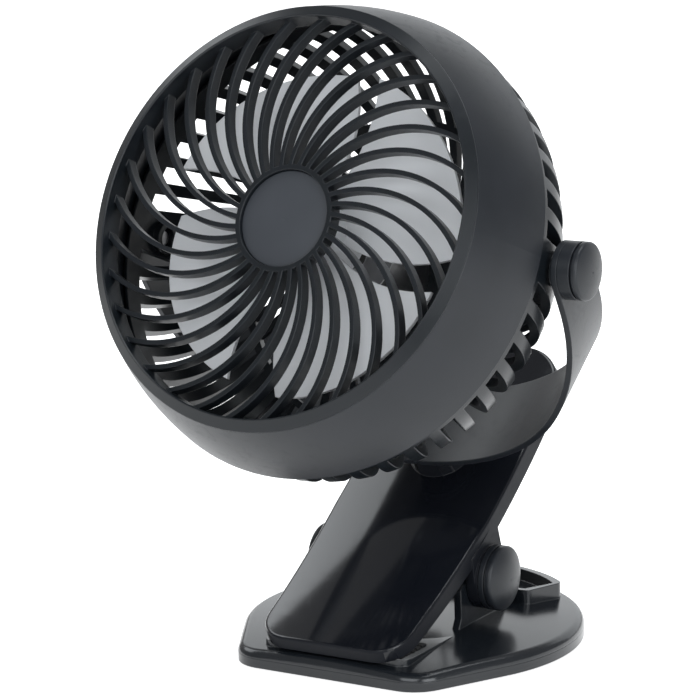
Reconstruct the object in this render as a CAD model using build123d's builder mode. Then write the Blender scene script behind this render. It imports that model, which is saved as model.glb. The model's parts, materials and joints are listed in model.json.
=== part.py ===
import math
import os

from build123d import *

os.makedirs("parts", exist_ok=True)

# Clearances and general sizes
overrun = 1.0
seat_gap = 0.4
running_gap = 0.05
fit_gap = 0.2
wall = 2.4

# Base
base_radius = 71.1
front_inset = 0.6
front_corner = 16.3
front_corner_x = 32.9
sole_height = 0.8
sole_inset = 2.5
plate_top = 4.7
plate_floor = 1.8
dome_top = 12.7
dome_rise = 4.2
shoulder_radius = 3.6
ceiling = 7.2
step_half_width = 34.0
step_top = 11.2
step_length = 39.0
step_inset = 6.0
step_corner = 5.0
screw_inset = 11.1
screw_count = 4
screw_boss_radius = 4.0
screw_radius = 1.5
screw_head_radius = 2.8
screw_head_height = 1.2
ballast_gap = 6.0
ballast_height = 4.2

# Tray at the rear of the base
tray_front_half_width = 39.5
tray_rear_half_width = 45.2
tray_length = 20.0
tray_rear_inset = 24.1
tray_bulge_inset = 5.9
tray_wall = 2.8
tray_corner = 4.0
tray_front_top = 17.0
tray_rear_top = 16.2
tray_floor = 10.6

# Hinge of the clip
hinge_y = 0.3
hinge_z = 29.9
hinge_pin_radius = 3.0
ear_inner_x = 29.4
ear_thickness = 3.2
ear_radius = 12.0
ear_front = 17.2
ear_drop = 2.0
ear_toe = 21.8
ear_toe_top = 15.5
ear_foot_rear = 24.0
lug_length = 5.0
lug_radius = 13.2
cap_radius = 13.4
cap_ring = 2.2
cap_groove = 0.9
cap_groove_depth = 1.0
cap_body = 2.2
cap_dome = 3.0
cap_edge = 1.4

# Upper jaw
jaw_overhang = 0.3
jaw_tip_z = 15.5
jaw_arc_radius = 489.0
jaw_tip_slope = 23.8
jaw_top_slope = 44.0
jaw_mid_slope = 30.5
jaw_tip_half_width = 33.4
jaw_half_width = 36.9
jaw_tip_corner = 14.0
jaw_end_corner = 20.0
skirt_low = 5.8
skirt_mid = 7.6
skirt_high = 8.8
jaw_edge = 1.1
web_front_slope = 31.0
web_rear_slope = 33.8

# Jaw pads
pad_half_width = 30.0
pad_length = 20.0
pad_setback = 3.5
pad_recess = 1.0
pad_stand = 0.5
pad_groove = 1.2
pad_groove_depth = 0.7
pad_groove_count = 4

# Torsion spring
spring_wire_radius = 1.0
spring_gap = 0.3
spring_pitch = 2.6
spring_turns = 8
spring_leg = 17.0
spring_post_length = 6.0
spring_post_width = 8.0

# Yoke and swivel
seat_slope = 37.1
seat_height = 11.6
yoke_lean = 36.3
yoke_side_gap = 1.4
yoke_bottom_gap = 2.4
yoke_join_angle = 30.0
yoke_thickness = 2.4
yoke_width = 40.8
yoke_end_radius = 11.3
yoke_taper_start = 70.0
swivel_disc_radius = 14.0
swivel_disc_height = 4.0
pedestal_radius = 12.6
pedestal_flare = 6.0
pedestal_sink = 1.6
swivel_pin_radius = 4.5
swivel_head_radius = 7.0
swivel_head_height = 2.2
swivel_web = 7.0
swivel_washer_radius = 8.0
swivel_washer_height = 1.2
swivel_nut_flats = 13.0
swivel_nut_height = 4.0

# Pivot of the head
collar_radius = 11.3
collar_length = 5.2
knob_groove = 0.9
knob_groove_depth = 1.0
knob_body = 2.1
knob_dome = 1.8
knob_edge = 1.2
pivot_pin_radius = 3.0
bush_wall = 1.2
bush_length = 7.0
washer_height = 0.5
washer_radius = 6.6
boss_radius = 6.8
boss_depth = 9.0

# Head
head_tilt = 24.6
rim_front = 52.0
rim_width = 4.8
rim_rise = 3.0
rim_depth = 8.0
rim_edge = 0.5
band_rear_radius = 95.0
band_taper = 10.6
band_rear = 17.2
band_bulge = 1.2
band_wall = 2.2
bar_count = 33
bar_width = 1.9
bar_depth = 5.0
bar_setback = 1.5
bar_mid_share = 0.52
bar_mid_angle = 16.9
bar_end_angle = 38.2
bar_first_angle = 7.7
hub_radius = 21.3
hub_wall = 2.0
hub_depth = 6.4
hub_floor = 2.2
hub_cap_height = 2.6
hub_cap_dome = 0.8

# Rear grille
rear_ring_step = 1.4
rear_ring_depth = 4.5
rear_lip = 5.0
rear_lip_wall = 1.3
rear_mid_inset = 8.1
rear_mid_back = 17.0
rear_centre_radius = 36.0
rear_back = 36.0
rear_depth = 4.0
rear_rib_count = 48
rear_rib_inner = 2.0
rear_rib_outer = 5.2
rear_rib_slant = -11.0
rear_rib_offset = 16.0
rear_rib_first_angle = 4.7
rear_hoop_inset = 29.6
rear_hoop_width = 2.6
rear_pad_width = 16.0
rear_pad_inset = 23.6
motor_plate = 3.0

# Motor and fan blade
motor_radius = 17.5
motor_length = 30.0
shaft_radius = 1.6
shaft_hole_margin = 1.0
bearing_radius = 5.0
bearing_length = 4.0
motor_screw_circle = 12.0
motor_screw_count = 3
motor_screw_radius = 1.25
motor_screw_head = 2.4
motor_screw_head_height = 1.6
motor_screw_length = 6.0
blade_count = 4
blade_tip_gap = 14.6
blade_middle = 25.5
blade_rise = 20.0
blade_camber = 5.0
blade_thickness = 1.8
blade_half_angle = 37.5
blade_sweep = 9.0
blade_turn = 25.0
blade_hub_radius = 16.0
blade_hub_height = 22.0
blade_hub_wall = 2.2
blade_boss_radius = 4.5
nut_radius = 6.0
nut_height = 4.0
nut_dome = 1.5
nut_grip = 3.0

# Motor cover and switch
cover_depth = 14.0
cover_edge = 4.0
cover_screw_circle = 29.0
cover_screw_count = 3
cover_screw_boss = 4.2
cover_wall = 2.2
switch_width = 12.0
switch_height = 18.0
switch_frame = 2.0
switch_proud = 1.2
switch_depth = 7.0
switch_wall = 1.0
rocker_side_gap = 0.4
rocker_end_gap = 0.9
rocker_proud = 2.2
rocker_valley = 0.8
rocker_depth = 4.4
rocker_axle = 2.0
gland_radius = 4.6
gland_bore = 2.5
gland_length = 6.0

# Sizes that follow from the sizes above
base_front = base_radius - front_inset
screw_circle = base_radius - screw_inset
ballast_radius = screw_circle - screw_boss_radius - ballast_gap
tray_rear = base_radius - tray_rear_inset
tray_front = tray_rear - tray_length
tray_bulge = base_radius - tray_bulge_inset
jaw_tip_y = -base_front - jaw_overhang
rim_radius = band_rear_radius - band_taper
rim_inner_radius = rim_radius - rim_width
bar_mid_radius = hub_radius + bar_mid_share * (rim_inner_radius - hub_radius)
rear_ring_radius = band_rear_radius - rear_ring_step
rear_mid_radius = rear_ring_radius - rear_mid_inset
rear_hoop_radius = rear_ring_radius - rear_hoop_inset
rear_pad_inner = rear_ring_radius - rear_pad_inset
blade_tip_radius = rim_inner_radius - blade_tip_gap
yoke_arm_x = band_rear_radius + yoke_side_gap
yoke_bottom_radius = math.hypot(rim_front + rim_edge, rim_radius) + yoke_bottom_gap
disc_bottom = yoke_bottom_radius + yoke_thickness + swivel_disc_height
pedestal_top = disc_bottom + seat_gap


# Point of the jaw's arc where the surface slopes by the given angle
def jaw_point(slope, depth):
    start = math.radians(jaw_tip_slope)
    angle = math.radians(slope)
    centre_y = jaw_tip_y - jaw_arc_radius * math.sin(start)
    centre_z = jaw_tip_z + jaw_arc_radius * math.cos(start)
    reach = jaw_arc_radius + depth
    return (centre_y + reach * math.sin(angle), centre_z - reach * math.cos(angle))


# Directions and places that follow from the sizes above
seat_y, seat_z = jaw_point(seat_slope, -seat_height)
tilt_sin = math.sin(math.radians(head_tilt))
tilt_cos = math.cos(math.radians(head_tilt))
lean_sin = math.sin(math.radians(yoke_lean))
lean_cos = math.cos(math.radians(yoke_lean))
pivot_y = seat_y - pedestal_top * lean_sin
pivot_z = seat_z + pedestal_top * lean_cos
pivot = Vector(0, pivot_y, pivot_z)
head_direction = Vector(0, -tilt_cos, tilt_sin)
head_up = Vector(0, tilt_sin, tilt_cos)
head_plane = Plane(origin=pivot, x_dir=(1, 0, 0), z_dir=head_direction)
head_section = Plane(origin=pivot, x_dir=(1, 0, 0), z_dir=-head_up)
head_axis = Axis(pivot, head_direction)
swivel_direction = Vector(0, -lean_sin, lean_cos)
yoke_plane = Plane(origin=pivot, x_dir=(1, 0, 0), z_dir=(0, -lean_cos, -lean_sin))
yoke_side = Plane(origin=pivot, x_dir=(0, lean_cos, lean_sin), z_dir=(1, 0, 0))
swivel_plane = Plane(origin=pivot, x_dir=(1, 0, 0), z_dir=swivel_direction)
pivot_section = Plane(origin=pivot, x_dir=(1, 0, 0), z_dir=(0, 0, 1))
hinge_section = Plane(origin=(0, hinge_y, hinge_z), x_dir=(1, 0, 0), z_dir=(0, 0, 1))

lug_inner_x = ear_inner_x + ear_thickness + seat_gap
lug_outer_x = lug_inner_x + lug_length
cap_inner_x = lug_outer_x + seat_gap
web_bottom = pedestal_top + swivel_web
boss_face_x = yoke_arm_x - washer_height - seat_gap
collar_inner_x = yoke_arm_x + yoke_thickness
knob_inner_x = collar_inner_x + collar_length
cover_front = -rear_back - motor_plate
cover_back = cover_front - cover_depth
motor_back = -rear_back
motor_front = motor_back + motor_length


def save(piece, node):
    piece.part.label = node
    export_step(piece.part, "parts/" + node + ".step")


def mirrored(piece):
    with BuildPart() as other:
        mirror(piece.part, about=Plane.YZ)
    return other


# Outline of the base, inset by a margin: a circle drawn out to two front corners
def base_outline(inset):
    corner_y = front_corner - base_front
    reach = math.hypot(front_corner_x, corner_y)
    lean = math.degrees(math.atan2(corner_y, front_corner_x))
    turn = lean + math.degrees(math.acos((base_radius - front_corner) / reach))
    radius = base_radius - inset
    corner = front_corner - inset
    with BuildLine() as outline:
        rear = CenterArc((0, 0), radius, turn, 180 - 2 * turn)
        left = CenterArc((-front_corner_x, corner_y), corner, 180 - turn, 90 + turn)
        right = CenterArc((front_corner_x, corner_y), corner, -90, 90 + turn)
        Line(rear @ 1, left @ 0)
        Line(left @ 1, right @ 0)
        Line(right @ 1, rear @ 0)
    return outline.edges()


# Space inside the yoke, grown by an offset
def yoke_region(offset):
    joined = math.radians(yoke_join_angle)
    side_radius = yoke_arm_x - yoke_bottom_radius * math.sin(joined)
    side_radius = side_radius / (1 - math.sin(joined))
    centre_x = yoke_arm_x - side_radius
    centre_y = -(yoke_bottom_radius - side_radius) * math.cos(joined)
    side_turn = 90 - yoke_join_angle
    top = yoke_end_radius + overrun
    with BuildLine() as region:
        Line((yoke_arm_x + offset, top), (yoke_arm_x + offset, centre_y))
        CenterArc((centre_x, centre_y), side_radius + offset, 0, -side_turn)
        CenterArc((0, 0), yoke_bottom_radius + offset, -side_turn, -2 * yoke_join_angle)
        CenterArc((-centre_x, centre_y), side_radius + offset, side_turn - 180, -side_turn)
        Line((-yoke_arm_x - offset, centre_y), (-yoke_arm_x - offset, top))
        Line((-yoke_arm_x - offset, top), (yoke_arm_x + offset, top))
    return region.edges()


# Sole pad
with BuildPart() as sole_pad:
    with BuildSketch():
        make_face(base_outline(sole_inset))
    extrude(amount=sole_height)
save(sole_pad, "sole_pad")

# Base plate, a shallow pan that carries the ballast
floor_top = sole_height + plate_floor
with BuildPart() as base_plate:
    with BuildSketch(Plane.XY.offset(sole_height)):
        make_face(base_outline(0))
    extrude(amount=plate_top - sole_height)
    with BuildSketch(Plane.XY.offset(floor_top)):
        make_face(base_outline(wall))
    extrude(amount=plate_top, mode=Mode.SUBTRACT)
    with BuildSketch(Plane.XY.offset(sole_height)):
        with PolarLocations(screw_circle, screw_count, start_angle=180 / screw_count):
            Circle(screw_head_radius + fit_gap)
    extrude(amount=screw_head_height, mode=Mode.SUBTRACT)
    with BuildSketch(Plane.XY):
        with PolarLocations(screw_circle, screw_count, start_angle=180 / screw_count):
            Circle(screw_radius + fit_gap)
    extrude(amount=plate_top, mode=Mode.SUBTRACT)
save(base_plate, "base_plate")

# Base shell with jaw step, ears, spring post and tray
post_top = hinge_z - hinge_pin_radius - 2 * (spring_gap + spring_wire_radius)
dome_radius = (base_radius**2 + dome_rise**2) / (2 * dome_rise)
tray_slope = (tray_rear_top - tray_front_top) / tray_length


# Outline of the tray, inset by a margin
def tray_outline(inset):
    with BuildLine() as outline:
        front = tray_front + inset
        rear = tray_rear - inset
        front_x = tray_front_half_width - inset
        rear_x = tray_rear_half_width - inset
        Line((-front_x, front), (front_x, front))
        Line((front_x, front), (rear_x, rear))
        ThreePointArc((rear_x, rear), (0, tray_bulge - inset), (-rear_x, rear))
        Line((-rear_x, rear), (-front_x, front))
    return outline.edges()


with BuildPart() as base_shell:
    with BuildSketch(Plane.XY.offset(plate_top)):
        make_face(base_outline(0))
    extrude(amount=dome_top)
    with Locations((0, 0, dome_top - dome_radius)):
        Sphere(dome_radius, mode=Mode.INTERSECT)
    fillet(faces().sort_by(Axis.Z)[-1].edges(), radius=shoulder_radius)
    with BuildSketch(Plane.XY.offset(plate_top)):
        with Locations((0, step_inset + step_length / 2 - base_front)):
            Rectangle(2 * step_half_width, step_length)
        fillet(vertices().group_by(Axis.Y)[0], radius=step_corner)
    extrude(amount=step_top - plate_top)
    with BuildSketch(Plane.XY.offset(ceiling)):
        make_face(tray_outline(0))
        fillet(vertices(), radius=tray_corner)
    extrude(amount=tray_front_top)
    with BuildSketch(Plane.XY.offset(tray_floor)):
        make_face(tray_outline(tray_wall))
        fillet(vertices(), radius=tray_corner - tray_wall)
    extrude(amount=tray_front_top, mode=Mode.SUBTRACT)
    with BuildSketch(Plane.YZ):
        with BuildLine():
            rear_end = tray_bulge + overrun
            high = ceiling + tray_front_top + overrun
            low = tray_front_top + tray_slope * (rear_end - tray_front)
            Polyline(
                (tray_front - overrun, tray_front_top - tray_slope * overrun),
                (rear_end, low),
                (rear_end, high),
                (tray_front - overrun, high),
                close=True,
            )
        make_face()
    extrude(amount=base_radius, both=True, mode=Mode.SUBTRACT)
    with BuildSketch(Plane.XY.offset(plate_top)):
        make_face(base_outline(wall))
    extrude(amount=ceiling - plate_top, mode=Mode.SUBTRACT)
    with BuildSketch(Plane.YZ.offset(ear_inner_x)):
        with Locations((hinge_y, hinge_z)):
            Circle(ear_radius)
        with BuildLine():
            Polyline(
                (hinge_y - ear_radius, hinge_z),
                (hinge_y - ear_front, hinge_z - ear_drop),
                (hinge_y - ear_front, ear_toe_top),
                (hinge_y - ear_toe, ceiling),
                (hinge_y + ear_foot_rear, ceiling),
                (hinge_y + ear_radius, hinge_z),
                close=True,
            )
        make_face()
        with Locations((hinge_y, hinge_z)):
            Circle(hinge_pin_radius, mode=Mode.SUBTRACT)
    extrude(amount=ear_thickness)
    with BuildSketch(Plane.YZ.offset(-ear_inner_x)):
        with Locations((hinge_y, hinge_z)):
            Circle(ear_radius)
        with BuildLine():
            Polyline(
                (hinge_y - ear_radius, hinge_z),
                (hinge_y - ear_front, hinge_z - ear_drop),
                (hinge_y - ear_front, ear_toe_top),
                (hinge_y - ear_toe, ceiling),
                (hinge_y + ear_foot_rear, ceiling),
                (hinge_y + ear_radius, hinge_z),
                close=True,
            )
        make_face()
        with Locations((hinge_y, hinge_z)):
            Circle(hinge_pin_radius, mode=Mode.SUBTRACT)
    extrude(amount=-ear_thickness)
    with BuildSketch(Plane.XY.offset(floor_top + fit_gap)):
        with PolarLocations(screw_circle, screw_count, start_angle=180 / screw_count):
            Circle(screw_boss_radius)
            Circle(screw_radius, mode=Mode.SUBTRACT)
    extrude(amount=ceiling - floor_top - fit_gap)
    with BuildSketch(Plane.XY.offset(ceiling)):
        with Locations((-spring_pitch * spring_turns / 2, hinge_y - spring_leg + spring_post_length / 2)):
            Rectangle(spring_post_width, spring_post_length)
    extrude(amount=post_top - ceiling)
    pad_front = step_inset + pad_setback - base_front
    with BuildSketch(Plane.XY.offset(step_top - pad_recess)):
        with Locations((0, pad_front + pad_length / 2)):
            Rectangle(2 * (pad_half_width + fit_gap), pad_length + 2 * fit_gap)
    extrude(amount=dome_top, mode=Mode.SUBTRACT)
save(base_shell, "base_shell")

# Ballast weight
with BuildPart() as ballast_weight:
    with BuildSketch(Plane.XY.offset(floor_top)):
        Circle(ballast_radius)
    extrude(amount=ballast_height)
save(ballast_weight, "ballast_weight")

# Base screws
with BuildPart() as base_screws:
    with BuildSketch(Plane.XY.offset(sole_height)):
        with PolarLocations(screw_circle, screw_count, start_angle=180 / screw_count):
            Circle(screw_head_radius)
    extrude(amount=screw_head_height)
    with BuildSketch(Plane.XY.offset(sole_height)):
        with PolarLocations(screw_circle, screw_count, start_angle=180 / screw_count):
            Circle(screw_radius)
    extrude(amount=ceiling - sole_height)
save(base_screws, "base_screws")

# Lower jaw pad with grooves across the grip
with BuildPart() as lower_jaw_pad:
    with BuildSketch(Plane.XY.offset(step_top - pad_recess)):
        with Locations((0, pad_front + pad_length / 2)):
            Rectangle(2 * pad_half_width, pad_length)
    extrude(amount=pad_recess + pad_stand)
    with BuildSketch(Plane.XY.offset(step_top + pad_stand - pad_groove_depth)):
        with Locations((0, pad_front + pad_length / 2)):
            with GridLocations(0, pad_length / (pad_groove_count + 1), 1, pad_groove_count):
                Rectangle(2 * pad_half_width + overrun, pad_groove)
    extrude(amount=pad_recess + pad_stand, mode=Mode.SUBTRACT)
save(lower_jaw_pad, "lower_jaw_pad")

# Hinge pin
with BuildPart() as hinge_pin:
    with BuildSketch(Plane.YZ):
        with Locations((hinge_y, hinge_z)):
            Circle(hinge_pin_radius)
    extrude(amount=cap_inner_x + cap_ring, both=True)
save(hinge_pin, "hinge_pin")

# Hinge caps
ring_end = cap_inner_x + cap_ring
groove_end = ring_end + cap_groove
body_end = groove_end + cap_body
with BuildPart() as right_hinge_cap:
    with BuildSketch(hinge_section):
        with BuildLine():
            Polyline(
                (body_end + cap_dome, 0),
                (ring_end, 0),
                (ring_end, hinge_pin_radius),
                (cap_inner_x, hinge_pin_radius),
                (cap_inner_x, cap_radius),
                (ring_end, cap_radius),
                (ring_end, cap_radius - cap_groove_depth),
                (groove_end, cap_radius - cap_groove_depth),
                (groove_end, cap_radius),
                (body_end, cap_radius),
            )
            dome_height = cap_radius / 2
            sphere_radius = (cap_radius**2 + cap_dome**2) / (2 * cap_dome)
            dome_x = body_end + cap_dome - sphere_radius
            dome_x = dome_x + math.sqrt(sphere_radius**2 - dome_height**2)
            ThreePointArc((body_end, cap_radius), (dome_x, dome_height), (body_end + cap_dome, 0))
        make_face()
    revolve(axis=Axis((0, hinge_y, hinge_z), (1, 0, 0)))
    rim_edges = edges().filter_by(GeomType.CIRCLE).group_by(SortBy.LENGTH)[-1]
    fillet(rim_edges.sort_by(Axis.X)[-1], radius=cap_edge)
left_hinge_cap = mirrored(right_hinge_cap)
save(right_hinge_cap, "right_hinge_cap")
save(left_hinge_cap, "left_hinge_cap")

# Upper jaw: curved plate with a skirt, hinge lugs and the swivel pedestal
tip_top = jaw_point(jaw_tip_slope, 0)
end_low = jaw_point(jaw_top_slope, skirt_high)


# Outline of the jaw seen from above, inset by a margin
def jaw_outline(inset):
    tip_x = jaw_tip_half_width - inset
    side_x = jaw_half_width - inset
    tip_y = tip_top[0] - overrun
    end_y = end_low[0] + overrun
    with BuildLine() as outline:
        Polyline(
            (-tip_x, tip_y),
            (tip_x, tip_y),
            (side_x, hinge_y),
            (side_x, end_y),
            (-side_x, end_y),
            (-side_x, hinge_y),
            close=True,
        )
    return outline.edges()


# Body of the jaw, inset at its sides and ends and under its top
def jaw_block(inset, low_extra):
    margin = math.degrees(inset / jaw_arc_radius)
    first = jaw_tip_slope + margin
    last = jaw_top_slope - margin
    middle = (first + last) / 2
    with BuildPart() as block:
        with BuildSketch(Plane.YZ):
            with BuildLine():
                ThreePointArc(jaw_point(first, inset), jaw_point(middle, inset), jaw_point(last, inset))
                Line(jaw_point(last, inset), jaw_point(last, skirt_high + low_extra))
                ThreePointArc(
                    jaw_point(last, skirt_high + low_extra),
                    jaw_point(jaw_mid_slope, skirt_mid + low_extra),
                    jaw_point(first, skirt_low + low_extra),
                )
                Line(jaw_point(first, skirt_low + low_extra), jaw_point(first, inset))
            make_face()
        extrude(amount=jaw_half_width + overrun, both=True)
        with BuildSketch(Plane.XY):
            make_face(jaw_outline(inset))
        extrude(amount=pivot_z, mode=Mode.INTERSECT)
        corners = edges().filter_by(GeomType.LINE).filter_by(Axis.X, reverse=True)
        fillet(corners.sort_by(Axis.Y)[:2], radius=jaw_tip_corner - inset)
        corners = edges().filter_by(GeomType.LINE).filter_by(Axis.X, reverse=True)
        fillet(corners.sort_by(Axis.Y)[-2:], radius=jaw_end_corner - inset)
    return block


jaw_solid = jaw_block(0, 0)
jaw_hollow = jaw_block(wall, overrun)
jaw_centre = jaw_point(jaw_tip_slope, -jaw_arc_radius)
along = (jaw_centre[0] - pivot_y) * lean_sin - (jaw_centre[1] - pivot_z) * lean_cos
across = math.hypot(jaw_centre[0] - pivot_y, jaw_centre[1] - pivot_z)
pedestal_foot = along + math.sqrt(along**2 - across**2 + jaw_arc_radius**2)
counter_radius = swivel_washer_radius + seat_gap
with BuildPart() as upper_jaw:
    add(jaw_solid.part)
    top_face = faces().filter_by(GeomType.CYLINDER).sort_by(SortBy.AREA)[-2:].sort_by(Axis.Z)[-1]
    fillet(top_face.edges(), radius=jaw_edge)
    add(jaw_hollow.part, mode=Mode.SUBTRACT)
    for side in (1, -1):
        with BuildSketch(Plane.YZ.offset(side * lug_inner_x)):
            with Locations((hinge_y, hinge_z)):
                Circle(lug_radius)
        extrude(amount=side * lug_length)
        with BuildSketch(Plane.YZ.offset(side * lug_inner_x)):
            with BuildLine():
                Polyline(
                    (hinge_y - lug_radius, hinge_z),
                    jaw_point(web_front_slope, skirt_mid / 2),
                    jaw_point(web_rear_slope, skirt_mid / 2),
                    (hinge_y + lug_radius, hinge_z),
                    close=True,
                )
            make_face()
        extrude(amount=side * (jaw_half_width - lug_inner_x))
    with BuildSketch(Plane.YZ):
        with Locations((hinge_y, hinge_z)):
            Circle(hinge_pin_radius + running_gap)
    extrude(amount=lug_outer_x + overrun, both=True, mode=Mode.SUBTRACT)
    with BuildSketch(swivel_plane.offset(-pedestal_top)):
        Circle(pedestal_radius)
    extrude(amount=-(pedestal_foot + pedestal_sink - pedestal_top), taper=-pedestal_flare)
    with BuildSketch(swivel_plane.offset(-web_bottom)):
        Circle(counter_radius)
    extrude(amount=-(pedestal_foot + skirt_high - web_bottom), mode=Mode.SUBTRACT)
    with BuildSketch(swivel_plane.offset(-pedestal_top + overrun)):
        Circle(swivel_pin_radius + running_gap)
    extrude(amount=-(swivel_web + 2 * overrun), mode=Mode.SUBTRACT)
save(upper_jaw, "upper_jaw")

# Torsion spring round the hinge pin, one leg on the base's post and one under the handle
coil_radius = hinge_pin_radius + spring_gap + spring_wire_radius
spring_length = spring_pitch * spring_turns
coil_end = Vector(spring_length / 2, hinge_y, hinge_z - coil_radius)
leg_rise = Vector(spring_pitch / 4, 0, coil_radius)
leg_out = Vector(0, leg_rise.length, 0)
leg_centre = coil_end + leg_rise
leg_start = leg_centre + leg_out
leg_slope = math.asin((leg_start.Y - jaw_centre[0]) / (jaw_arc_radius + wall))
leg_top = jaw_centre[1] - (jaw_arc_radius + wall) * math.cos(leg_slope)
leg_end = leg_top - spring_gap - spring_wire_radius
with BuildPart() as torsion_spring:
    with BuildLine() as spring_path:
        first_x = -spring_length / 2
        coil_low = hinge_z - coil_radius
        Line((first_x, hinge_y - spring_leg, coil_low), (first_x, hinge_y, coil_low))
        for half in range(2 * spring_turns):
            side = 1 if half % 2 == 0 else -1
            half_x = first_x + half * spring_pitch / 2
            ThreePointArc(
                (half_x, hinge_y, hinge_z - side * coil_radius),
                (half_x + spring_pitch / 4, hinge_y + side * coil_radius, hinge_z),
                (half_x + spring_pitch / 2, hinge_y, hinge_z + side * coil_radius),
            )
        ThreePointArc(coil_end, leg_centre + (leg_out - leg_rise) / math.sqrt(2), leg_start)
        Line(leg_start, leg_start + leg_rise * ((leg_end - leg_start.Z) / coil_radius))
    with BuildSketch(Plane(origin=spring_path.line @ 0, z_dir=spring_path.line % 0)):
        Circle(spring_wire_radius)
    sweep(path=spring_path.line)
save(torsion_spring, "torsion_spring")

# Least gap between two turns of the spring, measured on points along its wire
point_count = 400
spring_points = [spring_path.line @ (step / point_count) for step in range(point_count + 1)]
half_turn = math.pi * coil_radius / spring_path.wires()[0].length * point_count
least = min(
    (spring_points[one] - spring_points[other]).length
    for one in range(point_count + 1)
    for other in range(one + math.ceil(half_turn), point_count + 1)
)
print("least gap of the torsion spring to itself:", round(least - 2 * spring_wire_radius, 2), "mm")

# Upper jaw pad, set in the hollow behind the tip
pad_block = jaw_block(wall + fit_gap, 0)
with BuildPart() as upper_jaw_pad:
    add(pad_block.part)
    with BuildSketch(Plane.XY):
        with Locations((0, jaw_tip_y + pad_setback + pad_length / 2)):
            Rectangle(2 * pad_half_width, pad_length)
    extrude(amount=pivot_z, mode=Mode.INTERSECT)
save(upper_jaw_pad, "upper_jaw_pad")

# Yoke
with BuildPart() as yoke:
    with BuildSketch(yoke_plane):
        make_face(yoke_region(yoke_thickness))
        make_face(yoke_region(0), mode=Mode.SUBTRACT)
    extrude(amount=yoke_width / 2, both=True)
    with BuildSketch(yoke_side):
        Circle(yoke_end_radius)
        with BuildLine():
            low = -yoke_bottom_radius - yoke_thickness - overrun
            Polyline(
                (-yoke_end_radius, 0),
                (-yoke_width / 2, -yoke_taper_start),
                (-yoke_width / 2, low),
                (yoke_width / 2, low),
                (yoke_width / 2, -yoke_taper_start),
                (yoke_end_radius, 0),
                close=True,
            )
        make_face()
    extrude(amount=yoke_arm_x + yoke_thickness + overrun, both=True, mode=Mode.INTERSECT)
    with BuildSketch(swivel_plane.offset(-disc_bottom)):
        Circle(swivel_disc_radius)
    extrude(amount=disc_bottom - yoke_bottom_radius - yoke_thickness / 4)
    with BuildSketch(swivel_plane.offset(-yoke_bottom_radius - swivel_head_height)):
        Circle(swivel_head_radius + fit_gap)
    extrude(amount=swivel_head_height + overrun, mode=Mode.SUBTRACT)
    with BuildSketch(swivel_plane.offset(-disc_bottom - overrun)):
        Circle(swivel_pin_radius + running_gap)
    extrude(amount=disc_bottom - yoke_bottom_radius, mode=Mode.SUBTRACT)
    with BuildSketch(Plane.YZ):
        with Locations((pivot_y, pivot_z)):
            Circle(pivot_pin_radius + running_gap)
    extrude(amount=yoke_arm_x + yoke_thickness + overrun, both=True, mode=Mode.SUBTRACT)
save(yoke, "yoke")

# Swivel pin, washer and nut
washer_top = web_bottom + fit_gap
nut_top = washer_top + swivel_washer_height
pin_end = nut_top + swivel_nut_height + overrun
with BuildPart() as swivel_pin:
    with BuildSketch(swivel_plane.offset(-yoke_bottom_radius)):
        Circle(swivel_head_radius)
    extrude(amount=-swivel_head_height)
    with BuildSketch(swivel_plane.offset(-yoke_bottom_radius)):
        Circle(swivel_pin_radius)
    extrude(amount=yoke_bottom_radius - pin_end)
save(swivel_pin, "swivel_pin")

with BuildPart() as swivel_washer:
    with BuildSketch(swivel_plane.offset(-washer_top)):
        Circle(swivel_washer_radius)
        Circle(swivel_pin_radius + running_gap, mode=Mode.SUBTRACT)
    extrude(amount=-swivel_washer_height)
save(swivel_washer, "swivel_washer")

with BuildPart() as swivel_nut:
    with BuildSketch(swivel_plane.offset(-nut_top)):
        RegularPolygon(swivel_nut_flats / 2, 6, major_radius=False)
        Circle(swivel_pin_radius + running_gap, mode=Mode.SUBTRACT)
    extrude(amount=-swivel_nut_height)
save(swivel_nut, "swivel_nut")

# Pivot collars, knobs, pins and friction washers
pivot_axis = Axis(pivot, (1, 0, 0))
with BuildPart() as right_pivot_collar:
    with BuildSketch(Plane.YZ.offset(collar_inner_x)):
        with Locations((pivot_y, pivot_z)):
            Circle(collar_radius)
            Circle(pivot_pin_radius + running_gap, mode=Mode.SUBTRACT)
    extrude(amount=collar_length)
left_pivot_collar = mirrored(right_pivot_collar)
save(right_pivot_collar, "right_pivot_collar")
save(left_pivot_collar, "left_pivot_collar")

knob_step_x = knob_inner_x + knob_groove
knob_edge_x = knob_step_x + knob_body
with BuildPart() as right_pivot_knob:
    with BuildSketch(pivot_section):
        with BuildLine():
            face_radius = (collar_radius**2 + knob_dome**2) / (2 * knob_dome)
            face_x = knob_edge_x + knob_dome - face_radius
            face_x = face_x + math.sqrt(face_radius**2 - collar_radius**2 / 4)
            Polyline(
                (knob_edge_x + knob_dome, 0),
                (knob_step_x, 0),
                (knob_step_x, pivot_pin_radius),
                (knob_inner_x, pivot_pin_radius),
                (knob_inner_x, collar_radius - knob_groove_depth),
                (knob_step_x, collar_radius - knob_groove_depth),
                (knob_step_x, collar_radius),
                (knob_edge_x, collar_radius),
            )
            ThreePointArc(
                (knob_edge_x, collar_radius),
                (face_x, collar_radius / 2),
                (knob_edge_x + knob_dome, 0),
            )
        make_face()
    revolve(axis=pivot_axis)
    rim_edges = edges().filter_by(GeomType.CIRCLE).group_by(SortBy.LENGTH)[-1]
    fillet(rim_edges.sort_by(Axis.X)[-1], radius=knob_edge)
left_pivot_knob = mirrored(right_pivot_knob)
save(right_pivot_knob, "right_pivot_knob")
save(left_pivot_knob, "left_pivot_knob")

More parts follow.
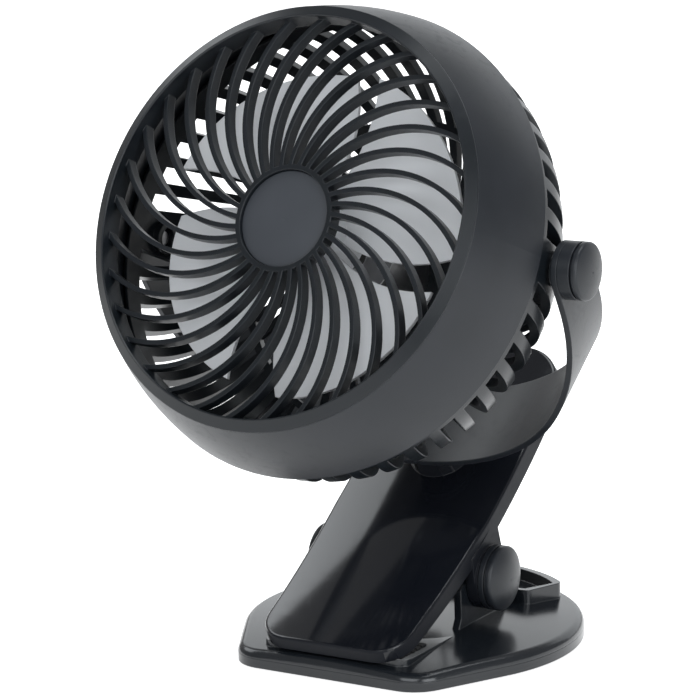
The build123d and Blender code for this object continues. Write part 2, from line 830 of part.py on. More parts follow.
pin_inner_x = boss_face_x - bush_length
with BuildPart() as right_pivot_pin:
    with BuildSketch(Plane.YZ.offset(pin_inner_x)):
        with Locations((pivot_y, pivot_z)):
            Circle(pivot_pin_radius)
    extrude(amount=knob_step_x - pin_inner_x)
left_pivot_pin = mirrored(right_pivot_pin)
save(right_pivot_pin, "right_pivot_pin")
save(left_pivot_pin, "left_pivot_pin")

with BuildPart() as right_friction_washer:
    with BuildSketch(Plane.YZ.offset(yoke_arm_x - washer_height)):
        with Locations((pivot_y, pivot_z)):
            Circle(washer_radius)
            Circle(pivot_pin_radius + running_gap, mode=Mode.SUBTRACT)
    extrude(amount=washer_height)
left_friction_washer = mirrored(right_friction_washer)
save(right_friction_washer, "right_friction_washer")
save(left_friction_washer, "left_friction_washer")

# Pivot bushes in the head's bosses
bush_radius = pivot_pin_radius + bush_wall
with BuildPart() as right_pivot_bush:
    with BuildSketch(Plane.YZ.offset(pin_inner_x)):
        with Locations((pivot_y, pivot_z)):
            Circle(bush_radius)
            Circle(pivot_pin_radius + running_gap, mode=Mode.SUBTRACT)
    extrude(amount=bush_length)
left_pivot_bush = mirrored(right_pivot_bush)
save(right_pivot_bush, "right_pivot_bush")
save(left_pivot_bush, "left_pivot_bush")

# Shroud
with BuildPart() as shroud:
    with BuildSketch(head_section):
        with BuildLine():
            middle_radius = (rim_radius + band_rear_radius) / 2 + band_bulge
            middle = (rim_front + band_rear) / 2
            ThreePointArc((rim_radius, rim_front), (middle_radius, middle), (band_rear_radius, band_rear))
            Line((band_rear_radius, band_rear), (band_rear_radius - band_wall, band_rear))
            ThreePointArc(
                (band_rear_radius - band_wall, band_rear),
                (middle_radius - band_wall, middle),
                (rim_radius - band_wall, rim_front),
            )
            Line((rim_radius - band_wall, rim_front), (rim_radius, rim_front))
        make_face()
    revolve(axis=head_axis)
save(shroud, "shroud")

# Front grille: rim, hub and spiral bars
rim_outer_radius = rim_radius - band_wall - fit_gap
bar_front = rim_front - bar_setback
bar_start = hub_radius - hub_wall / 2
bar_end = (rim_inner_radius + rim_outer_radius) / 2
mid_turn = math.radians(bar_mid_angle)
end_turn = math.radians(bar_end_angle)
bar_line = ThreePointArc(
    (bar_start, 0),
    (bar_mid_radius * math.cos(mid_turn), -bar_mid_radius * math.sin(mid_turn)),
    (bar_end * math.cos(end_turn), -bar_end * math.sin(end_turn)),
)
with BuildPart() as front_grille:
    with BuildSketch(head_section):
        with BuildLine():
            Polyline(
                (rim_radius, rim_front),
                (rim_radius, rim_front + rim_edge),
                (rim_inner_radius + rim_edge, rim_front + rim_rise),
                (rim_inner_radius, rim_front + rim_rise - rim_edge),
                (rim_inner_radius, rim_front - rim_depth),
                (rim_outer_radius, rim_front - rim_depth),
                (rim_outer_radius, rim_front),
                close=True,
            )
        make_face()
    revolve(axis=head_axis)
    with BuildSketch(head_plane.offset(bar_front - bar_depth)):
        with PolarLocations(0, bar_count, start_angle=bar_first_angle):
            SlotArc(bar_line, bar_width)
    extrude(amount=bar_depth)
    with BuildSketch(head_plane.offset(bar_front - hub_depth)):
        Circle(hub_radius)
    extrude(amount=hub_depth)
    with BuildSketch(head_plane.offset(bar_front - hub_depth + hub_floor)):
        Circle(hub_radius - hub_wall)
    extrude(amount=hub_depth, mode=Mode.SUBTRACT)
save(front_grille, "front_grille")

# Hub cap
cap_edge_radius = hub_radius - hub_wall - fit_gap
cap_back = bar_front - hub_depth + hub_floor
cap_front = cap_back + hub_cap_height
with BuildPart() as hub_cap:
    with BuildSketch(head_section):
        with BuildLine():
            face_radius = (cap_edge_radius**2 + hub_cap_dome**2) / (2 * hub_cap_dome)
            face_height = cap_front + hub_cap_dome - face_radius
            face_height = face_height + math.sqrt(face_radius**2 - cap_edge_radius**2 / 4)
            Polyline((0, cap_front + hub_cap_dome), (0, cap_back), (cap_edge_radius, cap_back))
            Line((cap_edge_radius, cap_back), (cap_edge_radius, cap_front))
            ThreePointArc(
                (cap_edge_radius, cap_front),
                (cap_edge_radius / 2, face_height),
                (0, cap_front + hub_cap_dome),
            )
        make_face()
    revolve(axis=head_axis)
save(hub_cap, "hub_cap")

# Rear grille: the bowl is kept where ribs, hoop and pivot pads cross it
ring_back = band_rear - rear_ring_depth
rib_reach = rear_ring_radius - rear_centre_radius
rib_height = 2 * (rear_back + band_rear)
rib_plane = Plane(head_plane.location * Location((0, -rear_rib_offset, 0), (rear_rib_slant, 0, 0)))
with BuildPart() as one_rib:
    with BuildSketch(rib_plane):
        with BuildLine():
            rib_start = rear_centre_radius - rear_rib_offset
            rib_end = rear_ring_radius + rear_depth
            Polyline(
                (rib_start, -rear_rib_inner / 2),
                (rib_end, -rear_rib_outer / 2),
                (rib_end, rear_rib_outer / 2),
                (rib_start, rear_rib_inner / 2),
                close=True,
            )
        make_face()
    extrude(amount=rib_height / 2, both=True)
rib_turns = [rear_rib_first_angle + turn * 360 / rear_rib_count for turn in range(rear_rib_count)]
with BuildPart() as rear_frame:
    with BuildSketch(head_plane.offset(-rib_height)):
        Circle(rear_hoop_radius + rear_hoop_width / 2)
        Circle(rear_hoop_radius - rear_hoop_width / 2, mode=Mode.SUBTRACT)
    extrude(amount=2 * rib_height)
    with BuildSketch(head_plane.offset(-rib_height)):
        with Locations((rear_pad_inner + rib_reach / 2, 0), (-rear_pad_inner - rib_reach / 2, 0)):
            Rectangle(rib_reach, rear_pad_width)
    extrude(amount=2 * rib_height)
with BuildPart() as rear_bowl:
    with BuildSketch(head_section):
        with BuildLine():
            ThreePointArc(
                (rear_ring_radius, ring_back),
                (rear_mid_radius, -rear_mid_back),
                (rear_centre_radius, cover_front),
            )
            Line((rear_centre_radius, cover_front), (rear_centre_radius, -rear_back))
            ThreePointArc(
                (rear_centre_radius, -rear_back),
                (rear_mid_radius - rear_depth / math.sqrt(2), -rear_mid_back + rear_depth / math.sqrt(2)),
                (rear_ring_radius - rear_depth, ring_back),
            )
            Line((rear_ring_radius - rear_depth, ring_back), (rear_ring_radius, ring_back))
        make_face()
    revolve(axis=head_axis)
with BuildPart() as rear_rib:
    add(one_rib.part)
    add(rear_bowl.part, mode=Mode.INTERSECT)
with BuildPart() as rear_grille:
    add(rear_bowl.part)
    add(rear_frame.part, mode=Mode.INTERSECT)
    add([rear_rib.part.rotate(head_axis, turn) for turn in rib_turns])
    with BuildSketch(head_plane.offset(ring_back)):
        Circle(rear_ring_radius)
        Circle(rear_ring_radius - rear_depth, mode=Mode.SUBTRACT)
    extrude(amount=rear_ring_depth)
    with BuildSketch(head_plane.offset(ring_back)):
        Circle(rear_ring_radius - rear_depth + rear_lip_wall)
        Circle(rear_ring_radius - rear_depth, mode=Mode.SUBTRACT)
    extrude(amount=rear_ring_depth + rear_lip)
    with BuildSketch(head_plane.offset(cover_front)):
        Circle(rear_centre_radius + rear_hoop_width)
        Circle(bearing_radius, mode=Mode.SUBTRACT)
        with PolarLocations(motor_screw_circle, motor_screw_count):
            Circle(motor_screw_radius + fit_gap, mode=Mode.SUBTRACT)
        with PolarLocations(cover_screw_circle, cover_screw_count, start_angle=90):
            Circle(motor_screw_radius, mode=Mode.SUBTRACT)
    extrude(amount=motor_plate)
    for side in (1, -1):
        with BuildSketch(Plane.YZ.offset(side * boss_face_x)):
            with Locations((pivot_y, pivot_z)):
                Circle(boss_radius)
        extrude(amount=-side * boss_depth)
        with BuildSketch(Plane.YZ.offset(side * (boss_face_x + overrun))):
            with Locations((pivot_y, pivot_z)):
                Circle(bush_radius + running_gap)
        extrude(amount=-side * (boss_depth + 2 * overrun), mode=Mode.SUBTRACT)
save(rear_grille, "rear_grille")

# Motor can and bearings
with BuildPart() as motor_can:
    with BuildSketch(head_plane.offset(motor_back)):
        Circle(motor_radius)
        Circle(shaft_radius + shaft_hole_margin, mode=Mode.SUBTRACT)
    extrude(amount=motor_length)
    with BuildSketch(head_plane.offset(motor_back), head_plane.offset(motor_front - bearing_length)):
        Circle(bearing_radius)
    extrude(amount=bearing_length, mode=Mode.SUBTRACT)
    with BuildSketch(head_plane.offset(motor_back)):
        with PolarLocations(motor_screw_circle, motor_screw_count):
            Circle(motor_screw_radius)
    extrude(amount=motor_screw_length - motor_plate, mode=Mode.SUBTRACT)
save(motor_can, "motor_can")

with BuildPart() as front_bearing:
    with BuildSketch(head_plane.offset(motor_front - bearing_length)):
        Circle(bearing_radius)
        Circle(shaft_radius + running_gap, mode=Mode.SUBTRACT)
    extrude(amount=bearing_length)
save(front_bearing, "front_bearing")

with BuildPart() as rear_bearing:
    with BuildSketch(head_plane.offset(motor_back)):
        Circle(bearing_radius)
        Circle(shaft_radius + running_gap, mode=Mode.SUBTRACT)
    extrude(amount=bearing_length)
save(rear_bearing, "rear_bearing")

with BuildPart() as motor_screws:
    with BuildSketch(head_plane.offset(cover_front)):
        with PolarLocations(motor_screw_circle, motor_screw_count):
            Circle(motor_screw_radius)
    extrude(amount=motor_screw_length)
    with BuildSketch(head_plane.offset(cover_front)):
        with PolarLocations(motor_screw_circle, motor_screw_count):
            Circle(motor_screw_head)
    extrude(amount=-motor_screw_head_height)
save(motor_screws, "motor_screws")

# Fan blade, shaft and nut
blade_back = blade_middle - blade_hub_height / 2
blade_front = blade_middle + blade_hub_height / 2
blade_root = blade_hub_radius - blade_hub_wall / 2
blade_span = blade_tip_radius - blade_root
blade_section = Plane(origin=pivot, x_dir=head_up, z_dir=(1, 0, 0))


# Point at a radius and an angle in the plane of the fan
def polar(radius, angle):
    return (radius * math.cos(math.radians(angle)), radius * math.sin(math.radians(angle)))


with BuildPart() as one_blade:
    with BuildSketch(head_plane):
        with BuildLine():
            low_root = polar(blade_root, -blade_half_angle)
            low_middle = polar(blade_root + blade_span / 2, -blade_half_angle)
            low_tip = polar(blade_tip_radius, blade_sweep - blade_half_angle)
            high_root = polar(blade_root, blade_half_angle)
            high_middle = polar(blade_root + blade_span / 2, blade_half_angle)
            high_tip = polar(blade_tip_radius, blade_sweep + blade_half_angle)
            ThreePointArc(low_root, low_middle, low_tip)
            ThreePointArc(low_tip, polar(blade_tip_radius, blade_sweep), high_tip)
            ThreePointArc(high_tip, high_middle, high_root)
            ThreePointArc(high_root, (blade_root, 0), low_root)
        make_face()
    extrude(amount=2 * blade_front)
    with BuildSketch(blade_section):
        with BuildLine():
            reach = blade_tip_radius
            first = blade_middle - blade_rise / 2
            last = blade_middle + blade_rise / 2
            crown = blade_middle + blade_camber
            ThreePointArc((-reach, first), (0, crown), (reach, last))
            Line((reach, last), (reach, last - blade_thickness))
            ThreePointArc(
                (reach, last - blade_thickness),
                (0, crown - blade_thickness),
                (-reach, first - blade_thickness),
            )
            Line((-reach, first - blade_thickness), (-reach, first))
        make_face()
    extrude(amount=blade_tip_radius + overrun, mode=Mode.INTERSECT)
blade_angles = [blade_turn + turn * 360 / blade_count for turn in range(blade_count)]
blades = [one_blade.part.rotate(head_axis, angle) for angle in blade_angles]
with BuildPart() as fan_blade:
    with BuildSketch(head_plane.offset(blade_back)):
        Circle(blade_hub_radius)
    extrude(amount=blade_hub_height)
    with BuildSketch(head_plane.offset(blade_back)):
        Circle(blade_hub_radius - blade_hub_wall)
        Circle(blade_boss_radius, mode=Mode.SUBTRACT)
    extrude(amount=blade_hub_height - blade_hub_wall, mode=Mode.SUBTRACT)
    add(blades)
    with BuildSketch(head_plane.offset(blade_back)):
        Circle(shaft_radius)
    extrude(amount=blade_hub_height, mode=Mode.SUBTRACT)
save(fan_blade, "fan_blade")

with BuildPart() as motor_shaft:
    with BuildSketch(head_plane.offset(motor_back)):
        Circle(shaft_radius)
    extrude(amount=blade_front + nut_grip - motor_back)
save(motor_shaft, "motor_shaft")

with BuildPart() as blade_nut:
    with BuildSketch(head_section):
        with BuildLine():
            nut_edge = blade_front + nut_height
            Polyline(
                (0, nut_edge + nut_dome),
                (0, blade_front + nut_grip),
                (shaft_radius, blade_front + nut_grip),
                (shaft_radius, blade_front),
                (nut_radius, blade_front),
                (nut_radius, nut_edge),
                (nut_radius - nut_dome, nut_edge + nut_dome),
                close=True,
            )
        make_face()
    revolve(axis=head_axis)
save(blade_nut, "blade_nut")

# Motor cover with the openings for switch and cord
cover_middle = (cover_front + cover_back) / 2
gland_plane = Plane(origin=pivot + head_direction * cover_middle, x_dir=(1, 0, 0), z_dir=-head_up)
bezel_width = switch_width + 2 * switch_wall
bezel_height = switch_height + 2 * switch_wall
with BuildPart() as motor_cover:
    with BuildSketch(head_plane.offset(cover_back)):
        Circle(rear_centre_radius)
    extrude(amount=cover_depth)
    fillet(edges().filter_by(GeomType.CIRCLE).sort_by(head_axis)[0], radius=cover_edge)
    with BuildSketch(head_plane.offset(cover_back + cover_wall)):
        Circle(rear_centre_radius - cover_wall)
    extrude(amount=cover_depth, mode=Mode.SUBTRACT)
    with BuildSketch(head_plane.offset(cover_back + cover_wall / 2)):
        with PolarLocations(cover_screw_circle, cover_screw_count, start_angle=90):
            Circle(cover_screw_boss)
    extrude(amount=cover_depth - cover_wall / 2)
    with BuildSketch(head_plane.offset(cover_back)):
        with PolarLocations(cover_screw_circle, cover_screw_count, start_angle=90):
            Circle(motor_screw_head + fit_gap)
    extrude(amount=motor_screw_head_height, mode=Mode.SUBTRACT)
    with BuildSketch(head_plane.offset(cover_back)):
        with PolarLocations(cover_screw_circle, cover_screw_count, start_angle=90):
            Circle(motor_screw_radius + fit_gap)
    extrude(amount=cover_depth, mode=Mode.SUBTRACT)
    with BuildSketch(head_plane.offset(cover_back - overrun)):
        Rectangle(bezel_width + 2 * fit_gap, bezel_height + 2 * fit_gap)
    extrude(amount=cover_wall + 2 * overrun, mode=Mode.SUBTRACT)
    with BuildSketch(gland_plane):
        Circle(gland_radius + running_gap)
    extrude(amount=rear_centre_radius + overrun, mode=Mode.SUBTRACT)
save(motor_cover, "motor_cover")

with BuildPart() as cover_screws:
    with BuildSketch(head_plane.offset(cover_back)):
        with PolarLocations(cover_screw_circle, cover_screw_count, start_angle=90):
            Circle(motor_screw_head)
    extrude(amount=motor_screw_head_height)
    with BuildSketch(head_plane.offset(cover_back)):
        with PolarLocations(cover_screw_circle, cover_screw_count, start_angle=90):
            Circle(motor_screw_radius)
    extrude(amount=cover_depth + motor_plate)
save(cover_screws, "cover_screws")

# Cord gland
with BuildPart() as cord_gland:
    with BuildSketch(gland_plane.offset(rear_centre_radius - cover_wall - overrun)):
        Circle(gland_radius)
        Circle(gland_bore, mode=Mode.SUBTRACT)
    extrude(amount=cover_wall + overrun + gland_length)
save(cord_gland, "cord_gland")

# Switch bezel and rocker
with BuildPart() as switch_bezel:
    with BuildSketch(head_plane.offset(cover_back - switch_proud)):
        Rectangle(switch_width + 2 * switch_frame, switch_height + 2 * switch_frame)
    extrude(amount=switch_proud)
    with BuildSketch(head_plane.offset(cover_back)):
        Rectangle(bezel_width, bezel_height)
    extrude(amount=switch_depth)
    with BuildSketch(head_plane.offset(cover_back - switch_proud)):
        Rectangle(switch_width, switch_height)
    extrude(amount=switch_proud + switch_depth - switch_wall, mode=Mode.SUBTRACT)
save(switch_bezel, "switch_bezel")

with BuildPart() as switch_rocker:
    with BuildSketch(blade_section):
        with BuildLine():
            half = switch_height / 2 - rocker_end_gap
            Polyline(
                (-half, cover_back - rocker_proud),
                (0, cover_back - rocker_valley),
                (half, cover_back - rocker_proud),
                (half, cover_back + rocker_axle),
                (0, cover_back + rocker_depth),
                (-half, cover_back + rocker_axle),
                close=True,
            )
        make_face()
    extrude(amount=switch_width / 2 - rocker_side_gap, both=True)
save(switch_rocker, "switch_rocker")
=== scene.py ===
import json
import math

import bpy
from mathutils import Matrix


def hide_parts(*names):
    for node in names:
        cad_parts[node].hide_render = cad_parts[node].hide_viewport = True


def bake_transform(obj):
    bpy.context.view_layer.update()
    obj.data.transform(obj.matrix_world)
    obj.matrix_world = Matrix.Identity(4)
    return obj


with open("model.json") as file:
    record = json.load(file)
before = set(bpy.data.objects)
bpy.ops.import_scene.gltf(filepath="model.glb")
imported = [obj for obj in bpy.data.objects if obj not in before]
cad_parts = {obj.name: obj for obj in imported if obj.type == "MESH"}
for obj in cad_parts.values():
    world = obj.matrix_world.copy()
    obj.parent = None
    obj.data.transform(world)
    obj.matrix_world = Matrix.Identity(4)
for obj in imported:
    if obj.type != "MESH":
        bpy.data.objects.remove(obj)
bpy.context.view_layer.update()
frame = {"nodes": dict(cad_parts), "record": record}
nodes = frame["nodes"]
print("frame loaded:", len(nodes), "nodes")


# Shared effects

def addNode(tree, kind, x, y, inputs=None, **settings):
    node = tree.nodes.new(kind)
    node.location = (x, y)
    for key, value in settings.items():
        setattr(node, key, value)
    for key, value in (inputs or {}).items():
        node.inputs[key].default_value = value
    return node


def addSockets(group, direction, sockets):
    for name, kind, default in sockets:
        socket = group.interface.new_socket(name, in_out=direction, socket_type=kind)
        if default is not None:
            socket.default_value = default


skinValues = {
    "usualGrain": 2600.0, "usualCloud": 45.0,
    "grain": {"Detail": 3.0, "Roughness": 0.6},
    "cloud": {"Detail": 2.0},
    "scuff": {"Scale": 160.0, "Detail": 6.0, "Distortion": 1.4},
    "tone": {"From Min": 0.3, "From Max": 0.7},
    "wear": {"From Min": 0.52, "From Max": 0.78},
}


def makeMouldSkin():
    # fine spark-eroded mould texture, with a slow drift in tone and gloss
    group = bpy.data.node_groups.new("mouldSkin", "ShaderNodeTree")
    addSockets(group, "INPUT", (("Grain", "NodeSocketFloat", skinValues["usualGrain"]),
                                ("Cloud", "NodeSocketFloat", skinValues["usualCloud"])))
    addSockets(group, "OUTPUT", [(name, "NodeSocketFloat", None) for name in ("Height", "Tone", "Scuff")])
    entry = addNode(group, "NodeGroupInput", -800, 0)
    leave = addNode(group, "NodeGroupOutput", 600, 0)
    place = addNode(group, "ShaderNodeTexCoord", -800, 250)
    grain = addNode(group, "ShaderNodeTexNoise", -450, 250, skinValues["grain"])
    cloud = addNode(group, "ShaderNodeTexNoise", -450, 0, skinValues["cloud"])
    scuff = addNode(group, "ShaderNodeTexNoise", -450, -250, skinValues["scuff"])
    tone = addNode(group, "ShaderNodeMapRange", -100, 0, skinValues["tone"])
    wear = addNode(group, "ShaderNodeMapRange", -100, -250, skinValues["wear"])
    link = group.links.new
    for noise in (grain, cloud, scuff):
        link(place.outputs["Object"], noise.inputs["Vector"])
    link(entry.outputs["Grain"], grain.inputs["Scale"])
    link(entry.outputs["Cloud"], cloud.inputs["Scale"])
    link(cloud.outputs["Fac"], tone.inputs["Value"])
    link(scuff.outputs["Fac"], wear.inputs["Value"])
    link(grain.outputs["Fac"], leave.inputs["Height"])
    link(tone.outputs["Result"], leave.inputs["Tone"])
    link(wear.outputs["Result"], leave.inputs["Scuff"])
    return group


edgeValues = {"radius": 0.0006, "samples": 6, "flat": 0.995, "turned": 0.90}


def makeSoftEdge():
    # small moulding radius along every edge, and a mask of where it is
    group = bpy.data.node_groups.new("softEdge", "ShaderNodeTree")
    addSockets(group, "OUTPUT", (("Normal", "NodeSocketVector", None), ("Edge", "NodeSocketFloat", None)))
    leave = addNode(group, "NodeGroupOutput", 600, 0)
    soft = addNode(group, "ShaderNodeBevel", -400, 100, {"Radius": edgeValues["radius"]},
                   samples=edgeValues["samples"])
    plain = addNode(group, "ShaderNodeNewGeometry", -400, -150)
    turn = addNode(group, "ShaderNodeVectorMath", -150, -50, operation="DOT_PRODUCT")
    mask = addNode(group, "ShaderNodeMapRange", 150, -50,
                   {"From Min": edgeValues["flat"], "From Max": edgeValues["turned"]})
    link = group.links.new
    link(soft.outputs["Normal"], turn.inputs[0])
    link(plain.outputs["Normal"], turn.inputs[1])
    link(turn.outputs["Value"], mask.inputs["Value"])
    link(soft.outputs["Normal"], leave.inputs["Normal"])
    link(mask.outputs["Result"], leave.inputs["Edge"])
    return group


mouldSkin = makeMouldSkin()
softEdge = makeSoftEdge()
mixAmount, mixFirst, mixSecond, mixColour = 0, 6, 7, 2  # a colour Mix node's sockets


# Finishes: tone runs from dark to light, gloss from rough to rough + drift

usualFinish = {"grain": skinValues["usualGrain"], "specular": 0.5, "metal": 0.0, "rub": 0.25, "crown": 0.0}
finishValues = {
    "charcoal": {"dark": (0.009, 0.011, 0.014), "light": (0.012, 0.014, 0.018),
                 "rough": 0.38, "drift": 0.08, "bump": 0.22, "specular": 0.34},
    "grilleBlack": {"dark": (0.006, 0.008, 0.010), "light": (0.008, 0.010, 0.013),
                    "rough": 0.28, "drift": 0.08, "bump": 0.15, "specular": 0.30},
    "baseGloss": {"dark": (0.007, 0.009, 0.012), "light": (0.010, 0.012, 0.015),
                  "rough": 0.19, "drift": 0.03, "bump": 0.06},
    "armGloss": {"dark": (0.005, 0.006, 0.009), "light": (0.007, 0.008, 0.011),
                 "rough": 0.09, "drift": 0.04, "bump": 0.03, "specular": 0.40, "rub": 0.08, "crown": 4.0},
    "armSide": {"dark": (0.006, 0.007, 0.010), "light": (0.009, 0.010, 0.013),
                "rough": 0.46, "drift": 0.08, "bump": 0.20, "specular": 0.12},
    "capGrey": {"dark": (0.032, 0.036, 0.043), "light": (0.038, 0.042, 0.050),
                "rough": 0.40, "drift": 0.08, "bump": 0.35, "specular": 0.40},
    "bladeGrey": {"dark": (0.78, 0.79, 0.81), "light": (0.83, 0.84, 0.86),
                  "rough": 0.42, "drift": 0.10, "bump": 0.10},
    "rubber": {"dark": (0.012, 0.012, 0.012), "light": (0.020, 0.020, 0.020),
               "rough": 0.72, "drift": 0.15, "bump": 0.6, "grain": 3600.0, "specular": 0.3},
    "steel": {"dark": (0.52, 0.52, 0.53), "light": (0.60, 0.60, 0.61),
              "rough": 0.28, "drift": 0.12, "bump": 0.15, "grain": 1800.0, "metal": 1.0},
    "iron": {"dark": (0.10, 0.10, 0.10), "light": (0.16, 0.155, 0.15),
             "rough": 0.62, "drift": 0.18, "bump": 0.8, "grain": 900.0, "metal": 1.0},
    "brass": {"dark": (0.56, 0.40, 0.16), "light": (0.64, 0.47, 0.22),
              "rough": 0.30, "drift": 0.12, "bump": 0.15, "grain": 1800.0, "metal": 1.0},
}
rubbed = {"gain": 1.7, "add": 0.006}  # how much paler a rubbed edge is
grainDepth = 0.0001


def addCrown(tree, crown, relief):
    # the long face sinks a hair towards its sides, which only reflections show
    place = addNode(tree, "ShaderNodeTexCoord", -900, -500)
    across = addNode(tree, "ShaderNodeSeparateXYZ", -700, -500)
    square = addNode(tree, "ShaderNodeMath", -550, -500, operation="MULTIPLY")
    sink = addNode(tree, "ShaderNodeMath", -400, -500, {1: -crown}, operation="MULTIPLY")
    bow = addNode(tree, "ShaderNodeBump", -200, -400, {"Distance": 1.0})
    link = tree.links.new
    link(place.outputs["Object"], across.inputs["Vector"])
    link(across.outputs["X"], square.inputs[0])
    link(across.outputs["X"], square.inputs[1])
    link(square.outputs["Value"], sink.inputs[0])
    link(sink.outputs["Value"], bow.inputs["Height"])
    link(relief.outputs["Normal"], bow.inputs["Normal"])
    return bow


def makeFinish(name, look):
    material = bpy.data.materials.new(name)
    material.use_nodes = True
    tree = material.node_tree
    shader = tree.nodes["Principled BSDF"]
    shader.inputs["Specular IOR Level"].default_value = look["specular"]
    shader.inputs["Metallic"].default_value = look["metal"]
    pale = [min(1.0, part * rubbed["gain"] + rubbed["add"]) for part in look["light"]]
    skin = addNode(tree, "ShaderNodeGroup", -900, 100, {"Grain": look["grain"]}, node_tree=mouldSkin)
    edge = addNode(tree, "ShaderNodeGroup", -900, -200, node_tree=softEdge)
    mix = addNode(tree, "ShaderNodeMix", -650, 250,
                  {mixFirst: (*look["dark"], 1), mixSecond: (*look["light"], 1)}, data_type="RGBA")
    worn = addNode(tree, "ShaderNodeMix", -300, 250, {mixSecond: (*pale, 1)}, data_type="RGBA")
    amount = addNode(tree, "ShaderNodeMath", -500, 50, {1: look["rub"]}, operation="MULTIPLY")
    gloss = addNode(tree, "ShaderNodeMapRange", -400, -50,
                    {"To Min": look["rough"], "To Max": look["rough"] + look["drift"]})
    relief = addNode(tree, "ShaderNodeBump", -400, -300, {"Strength": look["bump"], "Distance": grainDepth})
    link = tree.links.new
    link(skin.outputs["Tone"], mix.inputs[mixAmount])
    link(skin.outputs["Scuff"], gloss.inputs["Value"])
    link(skin.outputs["Height"], relief.inputs["Height"])
    link(edge.outputs["Normal"], relief.inputs["Normal"])
    link(edge.outputs["Edge"], amount.inputs[0])
    link(amount.outputs["Value"], worn.inputs[mixAmount])
    link(mix.outputs[mixColour], worn.inputs[mixFirst])
    link(worn.outputs[mixColour], shader.inputs["Base Color"])
    link(gloss.outputs["Result"], shader.inputs["Roughness"])
    surface = addCrown(tree, look["crown"], relief) if look["crown"] else relief
    link(surface.outputs["Normal"], shader.inputs["Normal"])
    return material


finishes = {name: makeFinish(name, {**usualFinish, **look}) for name, look in finishValues.items()}
slotFinish = {
    "charcoal": "charcoal", "gloss_charcoal": "armGloss", "cap_grey": "capGrey", "blade_grey": "bladeGrey",
    "rubber": "rubber", "steel": "steel", "iron": "iron", "bearing_brass": "brass",
}
ownFinish = {
    "front_grille": "grilleBlack", "rear_grille": "grilleBlack",
    "base_shell": "baseGloss", "base_plate": "baseGloss", "front_bearing": "iron",
}
for subpart in frame["record"]["subparts"]:
    piece = nodes[subpart["node"]]
    piece.data.materials.clear()
    piece.data.materials.append(finishes[ownFinish.get(subpart["node"], slotFinish[subpart["material_slot"]])])

# the arm's sides and its front lip are matt, its long face is glossy
mattFaces = {"sideways": 0.75, "forwards": 0.8}
jaw = nodes["upper_jaw"]
jaw.data.materials.append(finishes["armSide"])
jawTurn = jaw.matrix_world.to_3x3()
for face in jaw.data.polygons:
    facing = jawTurn @ face.normal
    face.material_index = int(abs(facing.x) > mattFaces["sideways"] or facing.y < -mattFaces["forwards"])
print("finishes done:", len(finishes))


# Torsion spring: one leg sits on the base and the other on the arm; a merged, smooth-shaded steel copy takes
# the place of the CAD spring, which is hidden

twist = {"from": -0.0104, "to": 0.0104, "merge": 0.00001, "smooth": 35}
bpy.ops.object.select_all(action="DESELECT")
spring = nodes["torsion_spring"].copy()
spring.data = spring.data.copy()
spring.name = spring.data.name = "twistedSpring"
bpy.context.scene.collection.objects.link(spring)
spring.parent = None
spring.matrix_world = nodes["torsion_spring"].matrix_world.copy()
bpy.context.view_layer.objects.active = spring
spring.select_set(True)
bpy.ops.object.mode_set(mode="EDIT")
bpy.ops.mesh.select_all(action="SELECT")
bpy.ops.mesh.remove_doubles(threshold=twist["merge"])
bpy.ops.object.mode_set(mode="OBJECT")
bpy.ops.object.shade_smooth_by_angle(angle=math.radians(twist["smooth"]))
spring.data.materials.clear()
spring.data.materials.append(finishes["steel"])
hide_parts("torsion_spring")
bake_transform(spring)
print("spring done")


# Floor, lights and camera

floorValues = {"size": 14.0, "drop": 0.0002, "tone": 0.85, "rough": 0.9, "lift": 0.85}
worldStrength = 0.35


def makePaper(name):
    # white paper that the camera and reflections see brighter, so that only the shadow shows on it
    paper = bpy.data.materials.new(name)
    paper.use_nodes = True
    tree = paper.node_tree
    shader = tree.nodes["Principled BSDF"]
    shader.inputs["Base Color"].default_value = (*[floorValues["tone"]] * 3, 1)
    shader.inputs["Roughness"].default_value = floorValues["rough"]
    shader.inputs["Specular IOR Level"].default_value = 0.0
    shader.inputs["Emission Color"].default_value = (1, 1, 1, 1)
    seen = addNode(tree, "ShaderNodeLightPath", -700, -200)
    either = addNode(tree, "ShaderNodeMath", -450, -200, operation="MAXIMUM")
    through = addNode(tree, "ShaderNodeMath", -300, -200, operation="MAXIMUM")
    glow = addNode(tree, "ShaderNodeMath", -150, -200, {1: floorValues["lift"]}, operation="MULTIPLY")
    link = tree.links.new
    link(seen.outputs["Is Camera Ray"], either.inputs[0])
    link(seen.outputs["Is Glossy Ray"], either.inputs[1])
    link(either.outputs["Value"], through.inputs[0])
    link(seen.outputs["Is Transmission Ray"], through.inputs[1])
    link(through.outputs["Value"], glow.inputs[0])
    link(glow.outputs["Value"], shader.inputs["Emission Strength"])
    return paper


bpy.ops.object.select_all(action="DESELECT")
bpy.ops.mesh.primitive_plane_add(size=floorValues["size"], location=(0, 0, -floorValues["drop"]))
floor = bpy.context.object
floor.name = "floor"
floor.data.materials.append(makePaper("paper"))

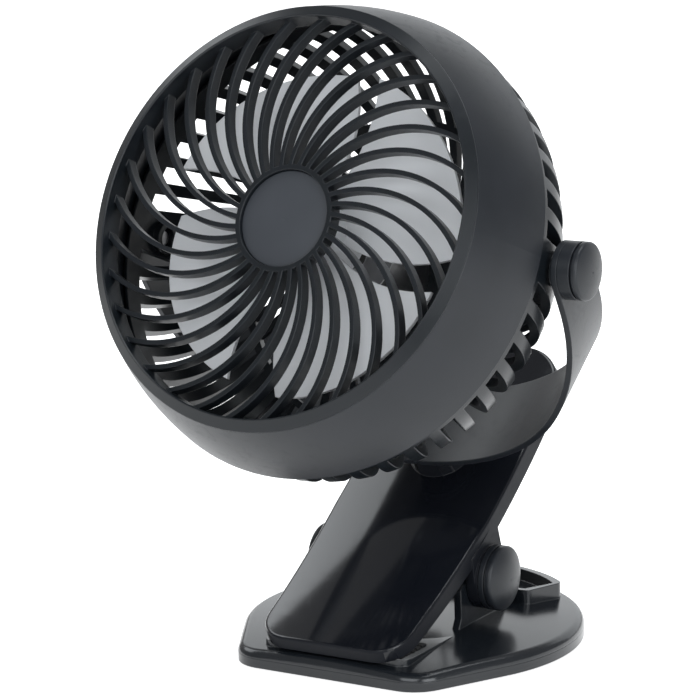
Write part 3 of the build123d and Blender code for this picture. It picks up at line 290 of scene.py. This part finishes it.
world = bpy.data.worlds.new("studio")
bpy.context.scene.world = world
world.use_nodes = True
background = world.node_tree.nodes["Background"]
background.inputs["Color"].default_value = (1, 1, 1, 1)
background.inputs["Strength"].default_value = worldStrength

lampTint = (0.93, 0.97, 1.0)
lamps = {
    "leftBox": {"at": (-1.86, 0.26, 1.35), "turn": (0, 0, 139), "size": (1.5, 1.1), "power": 13.0},
    "topBox": {"at": (0.35, 0.15, 1.70), "turn": (-10, 12, 0), "size": (0.9, 0.9), "power": 12.0},
    "backBox": {"at": (-0.60, 2.00, 0.80), "turn": (-70, 0, 0), "size": (3.4, 1.3), "power": 14.0},
    "sideBox": {"at": (1.80, -0.85, 0.60), "turn": (78, 0, 65), "size": (1.2, 1.2), "power": 20.0},
    "frontBox": {"at": (0.40, -2.60, 1.60), "turn": (60, 0, 9), "size": (2.4, 1.8), "power": 44.0},
}
for name, lamp in lamps.items():
    light = bpy.data.lights.new(name, "AREA")
    light.shape = "RECTANGLE"
    light.size, light.size_y = lamp["size"]
    light.energy = lamp["power"]
    light.color = lampTint
    holder = bpy.data.objects.new(name, light)
    bpy.context.scene.collection.objects.link(holder)
    holder.location = lamp["at"]
    holder.rotation_euler = [math.radians(angle) for angle in lamp["turn"]]

view = {
    "at": (0.61783, -1.03633, 0.37262), "turn": 31.924, "down": 11.713, "roll": -1.605,
    "lens": 154.16, "sensor": 36.0, "near": 0.01,
}
lens = bpy.data.cameras.new("camera")
lens.sensor_width = view["sensor"]
lens.lens = view["lens"]
lens.clip_start = view["near"]
camera = bpy.data.objects.new("camera", lens)
bpy.context.scene.collection.objects.link(camera)
camera.location = view["at"]
turned = Matrix.Rotation(math.radians(view["turn"]), 3, "Z")
tipped = Matrix.Rotation(math.radians(90 - view["down"]), 3, "X")
rolled = Matrix.Rotation(math.radians(view["roll"]), 3, "Z")
camera.rotation_euler = (turned @ tipped @ rolled).to_euler()
bpy.context.scene.camera = camera
bpy.context.scene.view_settings.view_transform = "Standard"
print("stage done")
